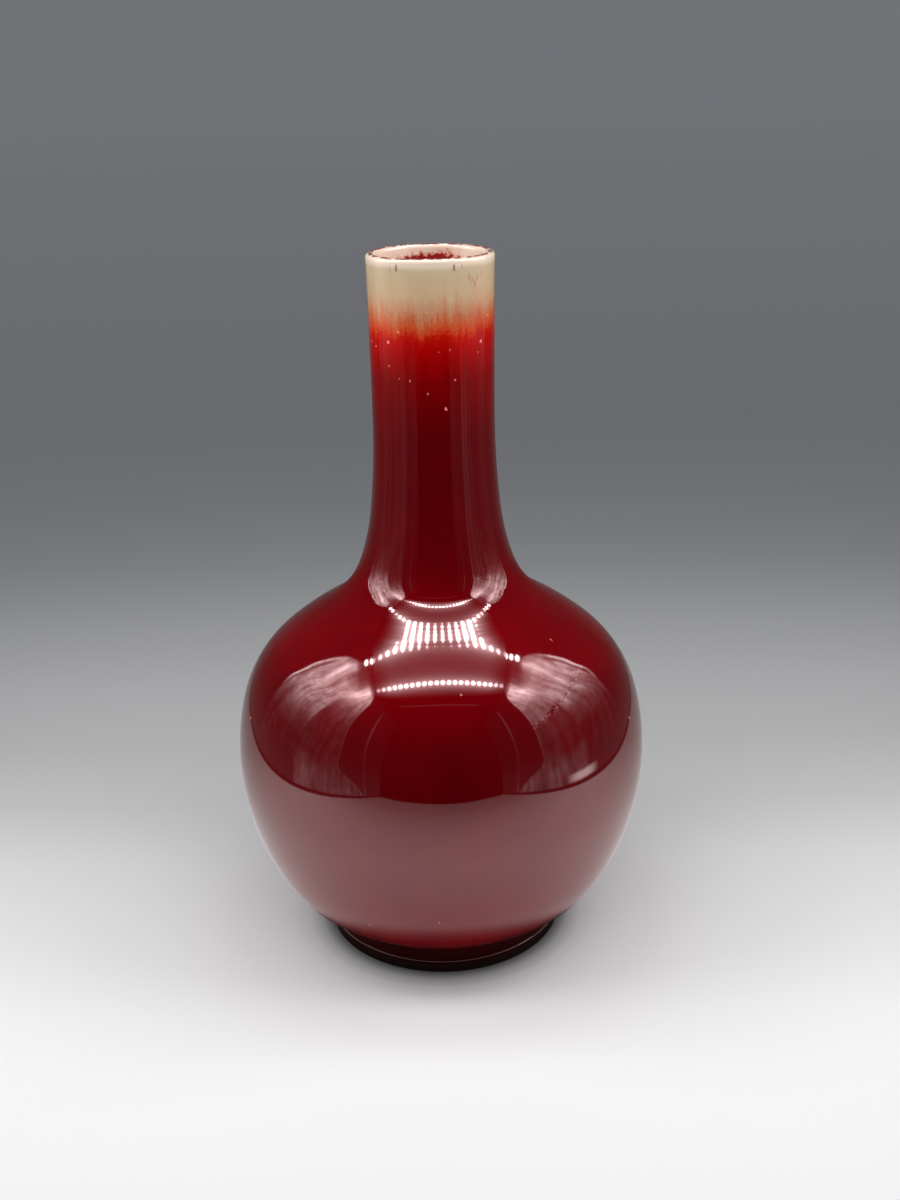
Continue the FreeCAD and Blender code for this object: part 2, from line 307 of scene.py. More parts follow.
redCoat = {
    "fadeFrom": (290.0, 380.0),     # the heights that the stops of the fade lie between
    "fade": [
        (0.00, (0.125, 0.0002, 0.002)), (0.333, (0.210, 0.0003, 0.0015)),
        (0.455, (0.330, 0.0005, 0.0010)), (0.540, (0.440, 0.002, 0.001)),
        (0.585, (0.520, 0.008, 0.002)), (0.620, (0.620, 0.060, 0.016)),
        (0.655, (0.600, 0.110, 0.036)), (0.695, (0.600, 0.190, 0.090)),
        (0.745, (0.610, 0.310, 0.170)), (0.810, (0.610, 0.420, 0.250)),
        (0.900, (0.600, 0.450, 0.290)), (1.000, (0.620, 0.480, 0.320)),
    ],
    # how far the fade wanders up and down in mm: more cream toward +X, then in tongues and
    # fingers, each with its scale around and up, and in grains
    "drift": -0.8,
    "tongue": (7.0, 0.033, 5.0),
    "finger": (33.0, 0.16, 2.2),
    "grain": (900.0, 2.8),
    "cloud": (28.0, 0.86, 1.12),    # scale, darkest and lightest share of the colour
    # share of the red that the glaze keeps, by height: dark where it is thick, and partly painted
    # shade, darkest at the foot and stepped along the belly for how light falls on it
    "thickness": [(0.0, 0.22), (14.0, 0.25), (18.5, 0.45), (23.0, 0.7), (30.0, 1.05), (40.0, 1.55),
                  (60.0, 1.4), (85.0, 1.1), (110.0, 0.92), (128.0, 0.80), (155.0, 0.80),
                  (166.0, 0.95), (176.0, 1.2), (200.0, 1.12), (235.0, 0.83), (290.0, 0.87),
                  (330.0, 1.0), (400.0, 1.0)],
    # the lip's paler cream: partly its own colour, partly a painted highlight where the lip's top
    # takes more light
    "lip": (0.82, 0.66, 0.52),
    "lipFrom": (374.0, 377.6),
    "lipWander": 1.5,
    "roughness": 0.03,
    "cloudRoughness": 0.03,
    "ior": 1.68,                    # a heavy lead glaze
    "gloss": (1.0, 0.68, 0.69),
    "ripple": (60.0, 0.02),         # scale and depth in mm
    # the root's fullness: where its steepness changes in mm, and by how much
    "rootSwell": [(191.5, 193.6, -0.014), (193.6, 195.4, 0.137), (195.4, 197.2, 0.094),
                  (197.2, 201.0, 0.136), (201.0, 206.0, 0.003), (210.0, 224.0, -0.356)],
    # the radius that marks are laid out on, how much they shrink upward, and their ruffle
    "neckSkin": (32.0, 1.0, 1.0),
    "bellySkin": (100.0, 1.0, 1.2),
    "strokeSkin": (32.0, 0.4, 0.9),
    "strokes": [(-30.0, 375.6, 1.0, 0.9), (21.2, 375.6, 0.9, 0.9), (28.5, 375.9, 0.6, 0.5),
                (-36.6, 375.2, 0.7, 0.35), (151.0, 375.0, 0.9, 0.8), (-118.0, 376.0, 0.7, 0.6)],
    "smears": [(36.0, 370.6, 0.9, 0.55), (39.0, 369.0, 0.8, 0.6), (42.0, 367.4, 1.0, 0.65),
               (45.5, 370.0, 0.9, 0.5), (51.0, 371.5, 1.0, 0.45), (-160.0, 369.0, 1.2, 0.5)],
    "neckPits": [(-42.2, 339.6, 1.5, 1.0), (50.0, 338.6, 1.5, 1.0), (11.7, 307.2, 1.3, 1.0),
                 (-30.5, 345.1, 1.1, 0.9), (-42.2, 327.7, 0.9, 0.6), (-20.3, 321.3, 0.9, 0.7),
                 (20.6, 321.4, 0.9, 0.7), (-4.1, 315.1, 0.9, 0.7), (16.4, 336.4, 0.8, 0.4),
                 (-30.8, 321.9, 0.7, 0.4), (45.8, 333.5, 0.8, 0.5), (6.5, 335.5, 0.6, 0.4),
                 (-60.7, 336.2, 1.1, 0.7), (-71.1, 337.8, 1.2, 0.7), (61.0, 350.5, 1.3, 0.7)],
    "bellyPits": [(-1.3, 56.6, 1.0, 0.8), (-69.0, 144.0, 1.2, 0.6), (67.3, 141.1, 1.3, 0.6),
                  (7.3, 177.1, 1.0, 0.22), (54.0, 187.2, 1.2, 0.5), (-23.2, 47.8, 1.5, 0.4)],
    "pit": (0.95, 0.25, 0.21),
    "pitSize": 0.78,
    "pitDepth": 0.08,
    "pitRoughness": 0.3,
    # scattered pits on the far side: scale, strength, and their size as a share of a cell
    "farPits": (32.0, 0.7, (0.018, 0.045)),
    "stroke": (0.22, 0.17, 0.11),
    "smear": (0.42, 0.16, 0.11),
    # the crest's line: the heights between which it comes up to full colour, the scale and
    # reach of its wander, and the scale and limits of its breaks
    "crestFrom": (379.4, 379.8),
    "crestWander": (420.0, 0.35),
    "crestBreaks": (300.0, 0.40, 0.52),
    "crest": (0.20, 0.035, 0.040),
}


def glazePlaces(tree):
    place = addNode(tree, "TexCoord").outputs["Object"]
    parts = addNode(tree, "SeparateXYZ", {"Vector": place}).outputs
    height = compute(tree, "MULTIPLY", parts["Z"], 1 / mm)
    flat = addNode(tree, "CombineXYZ", {"X": parts["X"], "Y": parts["Y"]}).outputs[0]
    around = vectorMath(tree, "NORMALIZE", flat)
    return place, height, around


def streaks(tree, around, height, acrossScale, upScale, detail=2.0):
    wide = vectorMath(tree, "SCALE", around, scale=acrossScale)
    tall = addNode(tree, "CombineXYZ", {"Z": compute(tree, "MULTIPLY", height, upScale)}).outputs[0]
    return speckle(tree, vectorMath(tree, "ADD", wide, tall), 1.0, detail)


def wander(tree, pattern, reach):
    return compute(tree, "MULTIPLY", compute(tree, "SUBTRACT", pattern, 0.5), reach * 2.5)


def smoothRise(tree, value, low, high, floorValue=0.0, topValue=1.0):
    return addNode(tree, "MapRange", {"Value": value, "From Min": low, "From Max": high,
                                      "To Min": floorValue, "To Max": topValue},
                   interpolation_type="SMOOTHSTEP").outputs["Result"]


# the skin around the neck or the belly as one vector, a little ruffled so that marks aren't round
def ruffledSkin(tree, around, height, layout):
    radius, squeeze, ruffle = layout
    wide = vectorMath(tree, "SCALE", around, scale=radius)
    tall = addNode(tree, "CombineXYZ",
                   {"Z": compute(tree, "MULTIPLY", height, squeeze)}).outputs[0]
    skin = vectorMath(tree, "ADD", wide, tall)
    noisy = addNode(tree, "TexNoise", {"Vector": skin, "Scale": 1.1, "Detail": 1.0}).outputs["Color"]
    shift = vectorMath(tree, "SCALE", vectorMath(tree, "SUBTRACT", noisy, (0.5, 0.5, 0.5)),
                       scale=ruffle)
    return vectorMath(tree, "ADD", skin, shift)


def markMask(tree, skin, layout, marks, share=1.0):
    radius, squeeze, _ = layout
    total = None
    for angle, height, size, strength in marks:
        spot = (radius * sine(angle), -radius * cosine(angle), height * squeeze)
        away = addNode(tree, "VectorMath", {0: skin, 1: spot}, operation="DISTANCE")
        mark = smoothRise(tree, away.outputs["Value"], size * share * 0.35, size * share,
                          strength, 0.0)
        total = mark if total is None else compute(tree, "MAXIMUM", total, mark)
    return total


# the broken brownish-red line on the crest of the lip
def crestStain(tree, place, height):
    scale, reach = redCoat["crestWander"]
    shifted = compute(tree, "ADD", height, wander(tree, speckle(tree, place, scale), reach))
    line = smoothRise(tree, shifted, *redCoat["crestFrom"])
    scale, low, high = redCoat["crestBreaks"]
    unbroken = smoothRise(tree, speckle(tree, place, scale), low, high, 0.1, 0.95)
    return compute(tree, "MULTIPLY", line, unbroken)


# the sum under a slope that grows from nothing at low to one at high
def easedClimb(tree, height, low, high):
    share = compute(tree, "DIVIDE", compute(tree, "SUBTRACT", height, low), high - low, clamp=True)
    bent = compute(tree, "MULTIPLY", compute(tree, "MULTIPLY", share, share), (high - low) / 2)
    return compute(tree, "ADD", bent,
                   compute(tree, "MAXIMUM", compute(tree, "SUBTRACT", height, high), 0.0))


def makeRedCoat():
    material, tree, shader = newMaterial("copperRedGlaze")
    place, height, around = glazePlaces(tree)

    # the red gives way to cream below the lip, in tongues, fingers and speckle
    direction = addNode(tree, "SeparateXYZ", {"Vector": around}).outputs
    changes = [compute(tree, "MULTIPLY", direction["X"], redCoat["drift"])]
    for name in ("tongue", "finger"):
        acrossScale, upScale, reach = redCoat[name]
        changes.append(wander(tree, streaks(tree, around, height, acrossScale, upScale), reach))
    scale, reach = redCoat["grain"]
    changes.append(wander(tree, speckle(tree, place, scale), reach))
    shifted = height
    for change in changes:
        shifted = compute(tree, "ADD", shifted, change)
    low, high = redCoat["fadeFrom"]
    along = compute(tree, "DIVIDE", compute(tree, "SUBTRACT", shifted, low), high - low, clamp=True)
    colour = colourRamp(tree, along, redCoat["fade"])
    scale, dark, light = redCoat["cloud"]
    cloud = speckle(tree, place, scale, 3.0)
    shade = colourRamp(tree, cloud, [(0.3, (dark,) * 3), (0.7, (light,) * 3)])
    colour = blendColours(tree, 1.0, colour, shade, "MULTIPLY")
    # darker or lighter by height: the glaze's thickness and painted shade
    colour = blendColours(tree, 1.0, colour, stopsAlong(tree, height, redCoat["thickness"]),
                          "MULTIPLY")

    # pits, strokes and smears where the photograph has them, and a few on the far side
    pits = None
    for skinName, marks in (("neckSkin", "neckPits"), ("bellySkin", "bellyPits")):
        layout = redCoat[skinName]
        mask = markMask(tree, ruffledSkin(tree, around, height, layout), layout, redCoat[marks],
                        redCoat["pitSize"])
        pits = mask if pits is None else compute(tree, "MAXIMUM", pits, mask)
    scale, strength, size = redCoat["farPits"]
    cells = addNode(tree, "TexVoronoi", {"Vector": place, "Scale": scale}, feature="F1")
    farPits = compute(tree, "MULTIPLY", smoothRise(tree, direction["Y"], 0.1, 0.4, 0.0, strength),
                      smoothRise(tree, cells.outputs["Distance"], *size, 1.0, 0.0))
    pits = compute(tree, "MAXIMUM", pits, farPits)
    # the lip's paler cream, partly a painted highlight on its top
    lip = smoothRise(tree, compute(tree, "ADD", height, wander(tree, cloud, redCoat["lipWander"])),
                     *redCoat["lipFrom"])
    colour = blendColours(tree, lip, colour, redCoat["lip"])
    layout = redCoat["strokeSkin"]
    strokeSkin = ruffledSkin(tree, around, height, layout)
    smears = markMask(tree, strokeSkin, layout, redCoat["smears"])
    strokes = markMask(tree, strokeSkin, layout, redCoat["strokes"])
    colour = blendColours(tree, pits, colour, redCoat["pit"])
    colour = blendColours(tree, smears, colour, redCoat["smear"])
    colour = blendColours(tree, strokes, colour, redCoat["stroke"])
    colour = blendColours(tree, crestStain(tree, place, height), colour, redCoat["crest"])
    tree.links.new(colour, shader.inputs["Base Color"])
    shader.inputs["IOR"].default_value = redCoat["ior"]
    shader.inputs["Specular Tint"].default_value = (*redCoat["gloss"], 1)

    rough = compute(tree, "MULTIPLY_ADD", cloud, redCoat["cloudRoughness"], redCoat["roughness"])
    rough = compute(tree, "MULTIPLY_ADD", pits, redCoat["pitRoughness"], rough)
    tree.links.new(rough, shader.inputs["Roughness"])

    # heights in metres: the fullness at the neck's root, the glaze's ripple and the pits
    relief = 0.0
    for low, high, steeper in redCoat["rootSwell"]:
        relief = compute(tree, "MULTIPLY_ADD", easedClimb(tree, height, low, high),
                         -steeper * mm, relief)
    scale, depth = redCoat["ripple"]
    relief = compute(tree, "MULTIPLY_ADD", speckle(tree, place, scale, 1.5), depth * mm, relief)
    relief = compute(tree, "MULTIPLY_ADD", pits, -redCoat["pitDepth"] * mm, relief)
    bump = addNode(tree, "Bump", {"Height": relief, "Strength": 1.0, "Distance": 1.0})
    tree.links.new(bump.outputs[0], shader.inputs["Normal"])
    return material


redGlaze = makeRedCoat()


# the pale lining and the coat under the foot

paleCoat = {
    "low": (0.74, 0.53, 0.42),
    "high": (0.90, 0.74, 0.62),
    "blotch": (0.30, 0.012, 0.010),
    "blotchEdge": (0.68, 0.30, 0.22),
    # scale of the red's runs around and up, and of its speckle, each with its share
    "runs": (9.0, 0.09, 0.45),
    "specks": (480.0, 0.95),
    "blotchTop": (372.0, 378.5),
    "blotchLow": (320.0, 366.0),
    "mouthSkin": (27.7, 1.0, 3.0),
    # pools of red inside the mouth, as the marks on the red coat are given
    "pools": [(177.0, 373.0, 18.0, 0.19), (35.0, 370.0, 12.0, 0.12)],
    "crackle": (0.34, 0.24, 0.16),
    "crackleScale": 150.0,
    "crackleWidth": (0.008, 0.035),
    "crackleDepth": 0.015,
    "ripple": (70.0, 0.03),
    "roughness": 0.05,
    "cloudRoughness": 0.06,
    "ior": 1.6,
}


def makePaleCoat():
    material, tree, shader = newMaterial("paleCrackleGlaze")
    place, height, around = glazePlaces(tree)
    cloud = speckle(tree, place, 45.0, 3.0)
    colour = colourRamp(tree, cloud, [(0.3, paleCoat["low"]), (0.7, paleCoat["high"])])

    # fine crackle, browner in some places than in others
    shaken = vectorMath(tree, "ADD", place, vectorMath(
        tree, "SCALE", addNode(tree, "TexNoise", {"Vector": place, "Scale": 160.0}).outputs["Color"],
        scale=0.004))
    cells = addNode(tree, "TexVoronoi", {"Vector": shaken, "Scale": paleCoat["crackleScale"]},
                    feature="DISTANCE_TO_EDGE").outputs["Distance"]
    cracks = smoothRise(tree, cells, *paleCoat["crackleWidth"], 1.0, 0.0)
    stained = compute(tree, "MULTIPLY", cracks, smoothRise(tree, cloud, 0.35, 0.65, 0.05, 0.35))
    colour = blendColours(tree, stained, colour, paleCoat["crackle"])

    # copper that ran in over the lip and turned red
    acrossScale, upScale, share = paleCoat["runs"]
    red = compute(tree, "MULTIPLY", streaks(tree, around, height, acrossScale, upScale, 3.0), share)
    scale, share = paleCoat["specks"]
    specks = compute(tree, "MULTIPLY", speckle(tree, place, scale, 3.0, 0.7), share)
    skin = ruffledSkin(tree, around, height, paleCoat["mouthSkin"])
    for change in (specks, smoothRise(tree, height, *paleCoat["blotchTop"], 0.16, -0.32),
                   smoothRise(tree, height, *paleCoat["blotchLow"], -0.6, 0.0),
                   markMask(tree, skin, paleCoat["mouthSkin"], paleCoat["pools"])):
        red = compute(tree, "ADD", red, change)
    colour = blendColours(tree, smoothRise(tree, red, 0.66, 0.85), colour, paleCoat["blotchEdge"])
    colour = blendColours(tree, smoothRise(tree, red, 0.80, 0.92), colour, paleCoat["blotch"])
    colour = blendColours(tree, crestStain(tree, place, height), colour, redCoat["crest"])
    tree.links.new(colour, shader.inputs["Base Color"])
    shader.inputs["IOR"].default_value = paleCoat["ior"]
    rough = compute(tree, "MULTIPLY_ADD", cloud, paleCoat["cloudRoughness"], paleCoat["roughness"])
    tree.links.new(rough, shader.inputs["Roughness"])
    scale, depth = paleCoat["ripple"]
    relief = compute(tree, "MULTIPLY_ADD", speckle(tree, place, scale), depth * mm,
                     compute(tree, "MULTIPLY", cracks, -paleCoat["crackleDepth"] * mm))
    bump = addNode(tree, "Bump", {"Height": relief, "Strength": 1.0, "Distance": 1.0})
    tree.links.new(bump.outputs[0], shader.inputs["Normal"])
    return material


paleGlaze = makePaleCoat()


def makeClay(name, low, high, roughness, shine=0.5):
    material, tree, shader = newMaterial(name)
    shader.inputs["Specular IOR Level"].default_value = shine
    place = addNode(tree, "TexCoord").outputs["Object"]
    grain = speckle(tree, place, 900.0, 4.0)
    tree.links.new(colourRamp(tree, grain, [(0.3, low), (0.7, high)]), shader.inputs["Base Color"])
    rough = compute(tree, "MULTIPLY_ADD", grain, 0.2, roughness - 0.1)
    tree.links.new(rough, shader.inputs["Roughness"])
    bump = addNode(tree, "Bump", {"Height": grain, "Strength": 0.4, "Distance": 0.2 * mm})
    tree.links.new(bump.outputs[0], shader.inputs["Normal"])
    return material


clay = makeClay("firedClay", (0.42, 0.36, 0.29), (0.60, 0.54, 0.45), 0.85)
slipClay = makeClay("firedSlip", (0.55, 0.50, 0.43), (0.68, 0.63, 0.56), 0.8)
# the bare foot ring is near black
footClay = makeClay("darkFootClay", (0.009, 0.003, 0.0026), (0.022, 0.007, 0.006), 0.6, 0.2)
print("materials made")


# the outer coat, a closed shell from its roll above the bare foot over the lip

coatEnd = {
    "bareFoot": 5.0,
    "rollHeight": 3.0,
    "rollSwell": 0.6,
    "cove": 3.0,
}


def makeOuterCoat():
    mesh = bmesh.new()
    coat = startLine(mesh, footRadius, coatEnd["bareFoot"], 0)
    first = coat["tip"]
    # the roll is an arc on the chord between its two ends
    chord = math.hypot(vase["glaze"], coatEnd["rollHeight"])
    rollArc = chord ** 2 / (8 * coatEnd["rollSwell"]) + coatEnd["rollSwell"] / 2
    half = math.degrees(math.asin(chord / 2 / rollArc))
    lean = -math.degrees(math.atan(vase["glaze"] / coatEnd["rollHeight"]))
    coat["tilt"] = lean - half
    arcOn(coat, rollArc, lean + half, 0.5)
    coveTilt = -math.degrees(math.acos((footRadius + vase["glaze"] + coatEnd["cove"] - hipRadius)
                                       / (hipArc + coatEnd["cove"])))
    lineTo(coat, footRadius + vase["glaze"],
           hipHeight + (hipArc + coatEnd["cove"]) * sine(coveTilt))
    coat["tilt"] = 0
    arcOn(coat, -coatEnd["cove"], coveTilt, 0.5)
    arcOn(coat, hipArc, vase["hipTilt"], 2.5)
    climbToWaist(coat, 0, 2.5)
    arcOn(coat, -vase["flareArc"], flareTilt, 6)
    coat["tilt"] = 0
    arcOn(coat, lipRound, 90, 0.25)
    under = startLine(mesh, footRadius, floorUnder, vase["seatTilt"])
    mesh.edges.new((first, under["tip"]))
    arcOn(under, hipArc - clayDepth, vase["hipTilt"], 6)
    climbToWaist(under, clayDepth, 6)
    arcOn(under, -vase["flareArc"] - clayDepth, flareTilt, 12)
    under["tilt"] = 0
    arcOn(under, lipRound - clayDepth, 90, 0.6)
    mesh.edges.new((coat["tip"], under["tip"]))
    return turnOutline(mesh, "outerCoat", redGlaze, "outer_glaze")


outerCoat = makeOuterCoat()
print("outer coat turned", len(outerCoat.data.polygons), "faces")


def makeLining():
    mesh = bmesh.new()
    tips = []
    for depth, chord in ((liningDepth, 4), (insideDepth, 7)):
        lift = depth - insideDepth
        line = startLine(mesh, 0, floorTop + lift, -90)
        lineTo(line, hipRadius + (innerHip - floorArc) * cosine(floorTilt), floorTop + lift)
        arcOn(line, floorArc - lift, floorTilt, chord)
        arcOn(line, innerHip - lift, vase["hipTilt"], chord)
        climbToWaist(line, depth, chord)
        edge = lipRound - clayDepth + lift
        lineTo(line, lipRadius - edge, lipHeight)
        line["tilt"] = 180
        arcOn(line, edge, 90, 0.25)
        tips.append(line["tip"])
    mesh.edges.new(tips)
    return turnOutline(mesh, "innerLining", paleGlaze, "inner_glaze")


innerLining = makeLining()
print("lining turned", len(innerLining.data.polygons), "faces")


# under the foot: the coat in the recess, and the ring that the vase stands on

footPart = {
    "wall": 7.5,
    "rim": 6.0,
    "edge": 0.6,
    "bareRim": 3.5,
    "cove": 2.0,
}


def closeLine(line, first):
    line["mesh"].edges.new((line["tip"], first))


def roundCorner(mesh, corners, reach, segments):
    bmesh.ops.bevel(mesh, geom=corners, offset=reach, offset_type="OFFSET", segments=segments,
                    profile=0.5, affect="VERTICES", material=-1)


def makeUnderCoat():
    topRadius = footRadius - footPart["wall"]
    rimRadius = footRadius - footPart["rim"]
    endRadius = rimRadius - (rimRadius - topRadius) * footPart["bareRim"] / footHeight
    mesh = bmesh.new()
    line = startLine(mesh, 0, floorUnder - vase["glaze"], 0)
    lineTo(line, topRadius - vase["glaze"], floorUnder - vase["glaze"])
    cove = line["tip"]
    lineTo(line, endRadius - vase["glaze"], footPart["bareRim"])
    lineTo(line, endRadius, footPart["bareRim"])
    lineTo(line, topRadius, footHeight)
    lineTo(line, topRadius, floorUnder)
    lineTo(line, 0, floorUnder)
    roundCorner(mesh, [cove], footPart["cove"], 6)
    return turnOutline(mesh, "underFootCoat", paleGlaze, "base_glaze")


def makeFootRing():
    mesh = bmesh.new()
    line = startLine(mesh, footRadius - footPart["rim"], 0, 0)
    first = line["tip"]
    lineTo(line, footRadius, 0)
    outer = line["tip"]
    lineTo(line, footRadius, footHeight)
    lineTo(line, footRadius - footPart["wall"], footHeight)
    closeLine(line, first)
    roundCorner(mesh, [first, outer], footPart["edge"], 6)
    return turnOutline(mesh, "footRing", footClay, "foot_ring")


underFootCoat = makeUnderCoat()
footRing = makeFootRing()
print("foot turned")


# hidden clay and slip keep their CAD shape

for nodeName, node in frame["nodes"].items():
    if nodeName in ("lower_belly", "upper_belly", "neck"):
        finish = clay
    elif nodeName.endswith("_slip"):
        finish = slipClay
    else:
        continue
    node.data.materials.clear()
    node.data.materials.append(finish)
print("clay finished")


# studio
# A small tent with two rows of lamps under its roof. Its cloth shows in the glaze alone: the
# camera and the soft light pass through it.

studio = {
    "floorSize": 30.0,
    # share of the light that the floor gives back, by its place from front to back in metres; its fall
    # toward the back is painted shade for light falling off away from the lamps
    "floor": [(-0.60, 0.72), (-0.30, 0.745), (-0.20, 0.78), (-0.14, 0.80), (-0.10, 0.80),
              (-0.055, 0.76), (0.0, 0.72), (0.05, 0.67), (0.125, 0.53), (0.215, 0.44),
              (0.32, 0.40), (0.45, 0.32), (0.61, 0.20), (0.82, 0.08), (1.2, 0.0)],
    # painted contact shadow: how much of that is left close to the foot, by distance from the axis,
    # and a little more than all of it just beyond
    "paintedContactShadow": [(0.066, 0.25), (0.069, 0.45), (0.073, 0.78), (0.080, 1.02), (0.09, 1.08),
                (0.12, 1.0)],
    # what the far floor adds in the camera's eye, so that it runs out into the backdrop
    "floorGlow": [(0.0, 0.0), (0.20, 0.01), (0.45, 0.06), (0.61, 0.09), (0.82, 0.13),
                  (1.2, 0.145), (3.0, 0.155), (12.0, 0.17)],
    "farColour": (0.97, 1.0, 1.088),
    # how bright the floor looks in the glaze, from front to back and out from the foot
    "floorMirror": [(-0.80, 0.64), (-0.60, 0.76), (-0.50, 0.97), (-0.40, 1.23), (-0.30, 1.50),
                    (-0.20, 1.65), (-0.10, 1.50), (0.0, 1.08), (0.10, 0.69), (0.18, 0.48),
                    (0.30, 0.35), (0.60, 0.20), (1.5, 0.15)],
    "footShade": [(0.060, 0.01), (0.065, 0.02), (0.07, 0.04), (0.075, 0.08), (0.08, 0.20),
                  (0.085, 0.38), (0.09, 0.48), (0.10, 0.53), (0.11, 0.60), (0.13, 0.75),
                  (0.15, 0.86), (0.18, 0.97), (0.20, 1.0)],
    "footShadePlace": (0.0, -0.02, 0.0),
    # lamps: place, turn about X and Z in degrees, size and power
    "lamps": {
        "topFront": ((0.0, -0.30, 1.05), (0, 0), (0.9, 0.2), 2.6),
        "topBack": ((0.0, 0.09, 1.05), (0, 0), (0.9, 0.2), 2.0),
        "leftFill": ((-0.55, -0.09, 0.62), (66, -82), (0.5, 0.6), 3.2),
        "rightFill": ((0.55, -0.09, 0.62), (66, 82), (0.5, 0.6), 3.2),
        "frontFill": ((0.0, -0.62, 0.62), (50, 0), (0.8, 0.4), 1.1),
    },
    "world": (0.165, 0.17, 0.185),
}

tent = {
    "halfWidth": 0.47,
    "front": -0.80,
    "back": 0.60,
    "roof": 1.05,
    "rowEnd": 0.4675,
    "rowFade": (0.16, 0.2),         # how far before its end a row dims, and the share that is left
    "beadLight": 38.0,
    "longBeads": (0.08, 0.34),      # how far out the second row's long lamps grow short
    # how far from the rows the roof starts to shine, before the first and behind the second
    "litFrom": (-0.12, -0.02),
    "litTo": (0.05, 0.22),
    # each row of lamps: its place at the middle, slope and bend, the pitch and half size of its
    # lamps, how much longer they are near the middle, their soft edge, and the glow beside them
    "rows": [
        {"middle": -0.217, "slope": 0.025, "bend": 0.24, "pitch": 0.0425,
         "half": (0.0140, 0.0145), "longer": 0.0, "edge": (0.8, 1.25),
         "glow": 6.0, "glowHalf": 0.028},
        {"middle": 0.092, "slope": 0.04, "bend": 0.0, "pitch": 0.055,
         "half": (0.0175, 0.026), "longer": 0.040, "edge": (0.7, 1.1),
         "glow": 9.0, "glowHalf": 0.038},
    ],
    # the second row runs on down the walls: its place there and its lowest lamp
    "wallRow": [(0.075, 0.955), (0.102, 0.90)],
    "wallPitch": 0.075,
    "wallHalf": (0.024, 0.024),
    "edgeLine": (-0.442, 0.012, 0.35),
    "frontDark": 0.004,
    "backDark": [(0.0, 0.14), (0.15, 0.08), (0.30, 0.04), (1.05, 0.03)],
}


def addLamp(name, place, turn, size, power):
    data = bpy.data.lights.new(name, "AREA")
    data.shape = "RECTANGLE"
    data.size, data.size_y = size
    data.energy = power
    lamp = bpy.data.objects.new(name, data)
    lamp.location = place
    lamp.rotation_euler = (math.radians(turn[0]), 0, math.radians(turn[1]))
    lamp.visible_glossy = False
    bpy.context.scene.collection.objects.link(lamp)


for name, (place, turn, size, power) in studio["lamps"].items():
    addLamp(name, place, turn, size, power)


def addSheet(name, size, place, turn, material):
    mesh = bmesh.new()
    spread = Matrix.Diagonal((size[0] / 2, size[1] / 2, 1, 1))
    turned = Matrix.Rotation(math.radians(turn[0]), 4, turn[1])
    bmesh.ops.create_grid(mesh, x_segments=1, y_segments=1, size=1,
                          matrix=Matrix.Translation(place) @ turned @ spread)
    data = bpy.data.meshes.new(name)
    mesh.to_mesh(data)
    mesh.free()
    data.materials.append(material)
    sheet = bpy.data.objects.new(name, data)
    bpy.context.scene.collection.objects.link(sheet)
    return sheet


def makeFloor():
    material, tree, shader = newMaterial("paleFloor")
    place = addNode(tree, "TexCoord").outputs["Object"]
    depth = addNode(tree, "SeparateXYZ", {"Vector": place}).outputs["Y"]
    reach = addNode(tree, "VectorMath", {0: place}, operation="LENGTH").outputs["Value"]
    fromShade = addNode(tree, "VectorMath", {0: place, 1: studio["footShadePlace"]},
                        operation="DISTANCE").outputs["Value"]
    # the floor's colour, with painted shade toward the back and painted contact shadow at the foot
    pale = blendColours(tree, 1.0, stopsAlong(tree, depth, studio["floor"]),
                        stopsAlong(tree, reach, studio["paintedContactShadow"]), "MULTIPLY")
    tree.links.new(pale, shader.inputs["Base Color"])
    shader.inputs["Roughness"].default_value = 0.9
    shader.inputs["Specular IOR Level"].default_value = 0.0
    rays = addNode(tree, "LightPath").outputs
    glow = addNode(tree, "Emission", {
        "Color": stopsAlong(tree, depth, studio["floorGlow"], studio["farColour"]),
        "Strength": rays["Is Camera Ray"]}).outputs[0]
    seen = addNode(tree, "AddShader", {0: shader.outputs[0], 1: glow}).outputs[0]
    mirrored = blendColours(tree, 1.0, stopsAlong(tree, depth, studio["floorMirror"]),
                            stopsAlong(tree, fromShade, studio["footShade"]), "MULTIPLY")
    mirrored = addNode(tree, "Emission", {"Color": mirrored}).outputs[0]
    mixed = addNode(tree, "MixShader", {0: rays["Is Glossy Ray"], 1: seen, 2: mirrored})
    tree.links.new(mixed.outputs[0], tree.nodes["Material Output"].inputs["Surface"])
    material.cycles.emission_sampling = "NONE"
    return material


addSheet("paleFloor", (studio["floorSize"],) * 2, (0, 0, 0), (0, "X"), makeFloor())


def newCloth(name):
    material = bpy.data.materials.new(name)
    material.use_nodes = True
    tree = material.node_tree
    tree.nodes.remove(tree.nodes["Principled BSDF"])
    parts = addNode(tree, "SeparateXYZ",
                    {"Vector": addNode(tree, "TexCoord").outputs["Object"]}).outputs
    return material, tree, parts


def lightCloth(material, tree, light):
    shining = addNode(tree, "Emission", {"Strength": light}).outputs[0]
    tree.links.new(shining, tree.nodes["Material Output"].inputs["Surface"])
    material.cycles.emission_sampling = "NONE"
    return material


